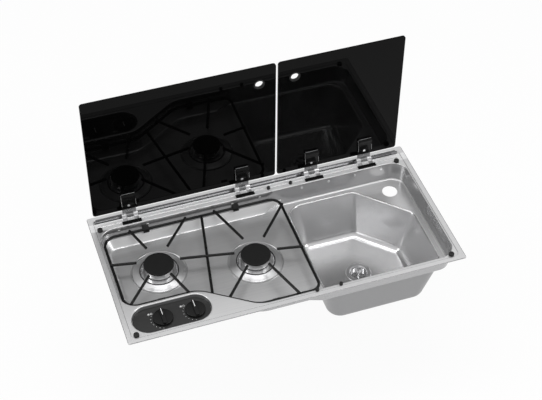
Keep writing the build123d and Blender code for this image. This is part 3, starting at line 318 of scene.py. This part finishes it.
slotMaterials = {
    "deck_steel": "deckSteel", "bowl_steel": "bowlSteel", "polished_steel": "polishedSteel",
    "hinge_steel": "chromedSteel", "bracket_steel": "plainSteel", "screw_steel": "chromedSteel",
    "black_glass": "blackGlass", "rubber": "rubber", "seal_foam": "sealFoam",
    "panel_black": "panelPlastic", "knob_black": "knobPlastic", "clip_black": "clipPlastic",
    "enamel_black": "capEnamel", "wire_black": "wireEnamel", "burner_alloy": "castAlloy",
    "brass": "brass", "waste_plastic": "wastePlastic", "probe_steel": "plainSteel",
}
# the hinge arms' darker steel is painted shade between the lugs
ownFinishes = (("hinge_arm", "shadeSteel"), ("burner_dish", "dishSteel"))
smoothing = {"weld": 0.00002, "angle": 32.0}

for part in frame["record"]["subparts"]:
    obj = nodes[part["node"]]
    obj.data.materials.clear()
    finish = slotMaterials[part["material_slot"]]
    for start, ownFinish in ownFinishes:
        finish = ownFinish if part["node"].startswith(start) else finish
    obj.data.materials.append(materials[finish])
    for face in obj.data.polygons:
        face.use_smooth = True
        face.material_index = 0
    weld = obj.modifiers.new("weld", "WELD")
    weld.merge_threshold = smoothing["weld"]
    split = obj.modifiers.new("sharpEdges", "EDGE_SPLIT")
    split.split_angle = math.radians(smoothing["angle"])
    obj.modifiers.new("faceWeights", "WEIGHTED_NORMAL")
print("finishes on the frame")


# small pieces that ride on the frame

def finishPiece(bm, name, material, body):
    bmesh.ops.recalc_face_normals(bm, faces=bm.faces)
    mesh = bpy.data.meshes.new(name)
    bm.to_mesh(mesh)
    bm.free()
    obj = bpy.data.objects.new(name, mesh)
    bpy.context.scene.collection.objects.link(obj)
    obj.data.materials.append(materials[material])
    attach(obj, body)


def addPlate(bm, centre, size, turn=0.0):
    # a thin printed plate that lies flat, size as length, width and height
    place = Matrix.Translation(centre) @ Matrix.Rotation(turn, 4, "Z") @ Matrix.Diagonal((*size, 1))
    bmesh.ops.create_cube(bm, size=1.0, matrix=place)


# the white line on each knob

knobPrint = {"width": 1.5 * mm, "length": 21 * mm, "height": 0.25 * mm, "start": 2.5 * mm}
for side in ("left", "right"):
    low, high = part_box(f"knob_{side}")
    bm = bmesh.new()
    middle = (low + high) / 2
    addPlate(
        bm, (middle.x, middle.y + knobPrint["start"] + knobPrint["length"] / 2, high.z),
        (knobPrint["width"], knobPrint["length"], knobPrint["height"]),
    )
    finishPiece(bm, f"pointer_{side}", "whitePrint", f"{side}_knob")


# dots round each knob, and two small squares beside it of which the first is filled

panelPrint = {
    "height": 0.12 * mm, "dots": 7, "dotRadius": 31 * mm, "dotLength": 2.2 * mm, "dotWidth": 0.77 * mm,
    "firstAngle": 150, "lastAngle": 258, "squareSize": 4.2 * mm, "squareLine": 0.16, "squareHole": 2.4 * mm,
    "squares": ((-31.5 * mm, 23 * mm), (-24.5 * mm, 23 * mm)),
}
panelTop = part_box("control_panel")[1].z
bm = bmesh.new()
for side in ("left", "right"):
    low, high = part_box(f"knob_{side}")
    centre = Vector(((low.x + high.x) / 2, (low.y + high.y) / 2, panelTop))
    for index in range(panelPrint["dots"]):
        share = index / (panelPrint["dots"] - 1)
        angle = math.radians(panelPrint["firstAngle"] * (1 - share) + panelPrint["lastAngle"] * share)
        spot = centre + Vector((math.cos(angle), math.sin(angle), 0)) * panelPrint["dotRadius"]
        addPlate(bm, spot, (panelPrint["dotLength"], panelPrint["dotWidth"], panelPrint["height"]), angle)
    size, line = panelPrint["squareSize"], panelPrint["squareLine"]
    sides = ((-1, 0, line, 1), (1, 0, line, 1), (0, -1, 1 + line, line), (0, 1, 1 + line, line))
    for x, y in panelPrint["squares"]:
        for dx, dy, wide, tall in sides:
            spot = centre + Vector((x + dx * size / 2, y + dy * size / 2, 0))
            addPlate(bm, spot, (size * wide, size * tall, panelPrint["height"]))
    solid = centre + Vector((*panelPrint["squares"][0], 0))
    addPlate(bm, solid, (panelPrint["squareHole"], panelPrint["squareHole"], panelPrint["height"]))
finishPiece(bm, "panel_print", "whitePrint", "base")
print("printed marks")


# trim of round bars

rodSides = 16


def addRod(bm, start, end, radius, flat=1.0):
    # a round bar between two points, which may be flattened from above
    start, end = Vector(start), Vector(end)
    middle = (start + end) / 2
    length = (end - start).length
    place = Matrix.Translation(middle) @ (end - start).to_track_quat("Z", "Y").to_matrix().to_4x4()
    rod = bmesh.ops.create_cone(
        bm, cap_ends=True, segments=rodSides, radius1=radius, radius2=radius, depth=length, matrix=place
    )
    for vert in rod["verts"]:
        vert.co.z = middle.z + (vert.co.z - middle.z) * flat


# the strip that rises at the rear of the hinge groove, placed from the edges of the deck, in steel darkened
# as painted shade under the black lids

grooveSlope = {
    "leftEnd": 16 * mm, "rightEnd": 19 * mm, "front": 21.6 * mm, "foot": -2.93 * mm, "step": 1.88 * mm,
    "slopes": (16, 19, 22, 25, 28, 31), "depth": 0.04 * mm,
}
grooveLeft = deckLow.x + grooveSlope["leftEnd"]
grooveRight = deckHigh.x - grooveSlope["rightEnd"]
bm = bmesh.new()
y, z = deckHigh.y - grooveSlope["front"], grooveSlope["foot"]
profile = [(y, z - grooveSlope["depth"]), (y, z)]
for slope in grooveSlope["slopes"]:
    y += grooveSlope["step"]
    z += grooveSlope["step"] * math.tan(math.radians(slope))
    profile.append((y, z))
profile.append((y, grooveSlope["foot"] - grooveSlope["depth"]))
face = bm.faces.new([bm.verts.new((grooveLeft, *point)) for point in profile])
grown = bmesh.ops.extrude_face_region(bm, geom=[face])["geom"]
farEnd = [item for item in grown if isinstance(item, bmesh.types.BMVert)]
bmesh.ops.translate(bm, verts=farEnd, vec=(grooveRight - grooveLeft, 0, 0))
finishPiece(bm, "groove_slope", "grooveShadeSteel", "base")


# two fine beads in front of the groove

railBeads = {
    "fromRear": (27.9 * mm, 38.9 * mm), "endGap": 6 * mm, "radius": 0.9 * mm, "flat": 0.6, "top": 1.0 * mm,
}
bm = bmesh.new()
for fromRear in railBeads["fromRear"]:
    start = (grooveLeft + railBeads["endGap"], deckHigh.y - fromRear, railBeads["top"])
    end = (grooveRight - railBeads["endGap"], deckHigh.y - fromRear, railBeads["top"])
    addRod(bm, start, end, railBeads["radius"], railBeads["flat"])
finishPiece(bm, "rail_beads", "polishedSteel", "base")


# dark lines along the edge of the rim and along its inner step, painted shadow under the rim's edge and at
# the step

rimShadowLines = {
    "edge": {"inset": 0.7 * mm, "rearInset": 0.7 * mm, "height": 1.9 * mm, "corner": 5 * mm},
    "step": {"inset": 13.6 * mm, "rearInset": 9.2 * mm, "height": 1.2 * mm, "corner": 14 * mm},
    "radius": 0.65 * mm, "flat": 0.5,
}
bm = bmesh.new()
for line in (rimShadowLines["edge"], rimShadowLines["step"]):
    left, right = deckLow.x + line["inset"], deckHigh.x - line["inset"]
    front, rear = deckLow.y + line["inset"], deckHigh.y - line["rearInset"]
    corner, height = line["corner"], line["height"]
    for start, end in (
        ((left + corner, front), (right - corner, front)), ((left, front + corner), (left, rear - corner)),
        ((right, front + corner), (right, rear - corner)),
    ):
        addRod(bm, (*start, height), (*end, height), rimShadowLines["radius"], rimShadowLines["flat"])
finishPiece(bm, "rim_shadow_lines", "shadeSteel", "base")


# thin bright rods down the sides and over the top of each clamp, painted highlights for the bevelled edges
# of the black clip

clipHighlights = {
    "radius": 0.45 * mm, "low": 43.5 * mm, "thick": 9.0 * mm, "thin": 3.0 * mm, "half": 19 * mm,
    "corner": 1.2 * mm, "arms": {"left": (1, 2), "right": (3, 4)},
}
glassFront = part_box("lid_left")[0].y
lowFront = glassFront - clipHighlights["thick"]
topFront = glassFront - clipHighlights["thin"]
half, corner = clipHighlights["half"], clipHighlights["corner"]
for side, numbers in clipHighlights["arms"].items():
    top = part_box(f"clip_covers_{side}")[1].z
    bm = bmesh.new()
    for number in numbers:
        armLow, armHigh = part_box(f"hinge_arm_{number}")
        middle = (armLow.x + armHigh.x) / 2
        for x in (middle - half, middle + half):
            addRod(bm, (x, lowFront, clipHighlights["low"]), (x, topFront, top - corner), clipHighlights["radius"])
        topLeft = (middle - half + corner, topFront, top)
        topRight = (middle + half - corner, topFront, top)
        addRod(bm, topLeft, topRight, clipHighlights["radius"])
    finishPiece(bm, f"clip_highlights_{side}", "plainSteel", f"{side}_lid")
print("rail and clip edges")


# camera, light and background

camera = {
    "place": (-0.78358, -2.23469, 2.53722), "azimuth": -19.107, "elevation": 45.3, "roll": 0.419,
    "focalPixels": 1325.753, "imageWidth": 542, "sensor": 36.0, "farthest": 60,
}
azimuth = math.radians(camera["azimuth"])
elevation = math.radians(camera["elevation"])
roll = math.radians(camera["roll"])
back = Vector((
    math.sin(azimuth) * math.cos(elevation), -math.cos(azimuth) * math.cos(elevation), math.sin(elevation)
))
right = Vector((0, 0, 1)).cross(back).normalized()
up = back.cross(right)
turnedRight = right * math.cos(roll) + up * math.sin(roll)
turnedUp = up * math.cos(roll) - right * math.sin(roll)
cameraData = bpy.data.cameras.new("camera")
cameraData.sensor_width = camera["sensor"]
cameraData.lens = camera["focalPixels"] / camera["imageWidth"] * camera["sensor"]
cameraData.clip_end = camera["farthest"]
cameraObject = bpy.data.objects.new("camera", cameraData)
cameraObject.matrix_world = Matrix((
    (turnedRight.x, turnedUp.x, back.x, camera["place"][0]),
    (turnedRight.y, turnedUp.y, back.y, camera["place"][1]),
    (turnedRight.z, turnedUp.z, back.z, camera["place"][2]),
    (0, 0, 0, 1),
))
bpy.context.scene.collection.objects.link(cameraObject)
bpy.context.scene.camera = cameraObject

lamps = [
    {"name": "topSoftbox", "place": (0.1, 0.3, 2.8), "aim": (0, 0, 0), "size": (2.4, 0.8), "power": 24},
    {"name": "leftSoftbox", "place": (-2.4, 0.3, 1.7), "aim": (0, 0, 0), "size": (0.5, 1.6), "power": 16},
    {"name": "rightSoftbox", "place": (2.1, -1.5, 1.5), "aim": (0, 0, 0), "size": (0.4, 1.6), "power": 18},
]
for lamp in lamps:
    light = bpy.data.lights.new(lamp["name"], "AREA")
    light.shape = "RECTANGLE"
    light.size, light.size_y = lamp["size"]
    light.energy = lamp["power"]
    lampObject = bpy.data.objects.new(lamp["name"], light)
    lampObject.location = lamp["place"]
    direction = Vector(lamp["aim"]) - Vector(lamp["place"])
    lampObject.rotation_euler = direction.to_track_quat("-Z", "Y").to_euler()
    bpy.context.scene.collection.objects.link(lampObject)

backdrop = {
    "white": 1.0, "zenith": 0.88, "horizon": 0.30, "floorShade": 0.93, "floorDrop": 0.12, "floorHalf": 14.0,
    "floorColour": (0.8, 0.8, 0.8), "floorRough": 0.9,
}
world = bpy.data.worlds.new("studio")
world.use_nodes = True
bpy.context.scene.world = world
tree = world.node_tree
sky = tree.nodes["Background"]
height = axisOf(tree, coordsOf(tree, "Generated"), "Z")
shade = rangeOf(tree, height, backdrop["horizon"], backdrop["zenith"], 0.0, 1.0)
tree.links.new(shade, sky.inputs["Strength"])
sky.inputs["Color"].default_value = (1, 1, 1, 1)

# a pale floor that is almost as white as the background where it is seen or mirrored
floorMat, tree, shader = newMaterial("paleFloor")
shader.inputs["Base Color"].default_value = (*backdrop["floorColour"], 1)
shader.inputs["Roughness"].default_value = backdrop["floorRough"]
path = tree.nodes.new("ShaderNodeLightPath")
glow = addNode(tree, "ShaderNodeEmission", Strength=backdrop["white"])
seen = path.outputs["Is Camera Ray"]
for ray in ("Is Glossy Ray", "Is Transmission Ray"):
    seen = mathOn(tree, "MAXIMUM", seen, path.outputs[ray])
share = mathOn(tree, "MULTIPLY", seen, backdrop["floorShade"])
mixed = tree.nodes.new("ShaderNodeMixShader")
tree.links.new(share, mixed.inputs["Fac"])
tree.links.new(shader.outputs["BSDF"], mixed.inputs[1])
tree.links.new(glow.outputs["Emission"], mixed.inputs[2])
tree.links.new(mixed.outputs["Shader"], tree.nodes["Material Output"].inputs["Surface"])
bm = bmesh.new()
bmesh.ops.create_grid(bm, x_segments=1, y_segments=1, size=backdrop["floorHalf"])
bmesh.ops.translate(bm, verts=bm.verts, vec=(0, 0, cadBox[0].z - backdrop["floorDrop"]))
floorMesh = bpy.data.meshes.new("floor")
bm.to_mesh(floorMesh)
bm.free()
floor = bpy.data.objects.new("floor", floorMesh)
floor.data.materials.append(floorMat)
bpy.context.scene.collection.objects.link(floor)

bpy.context.scene.view_settings.view_transform = "Standard"
print("camera and light set")
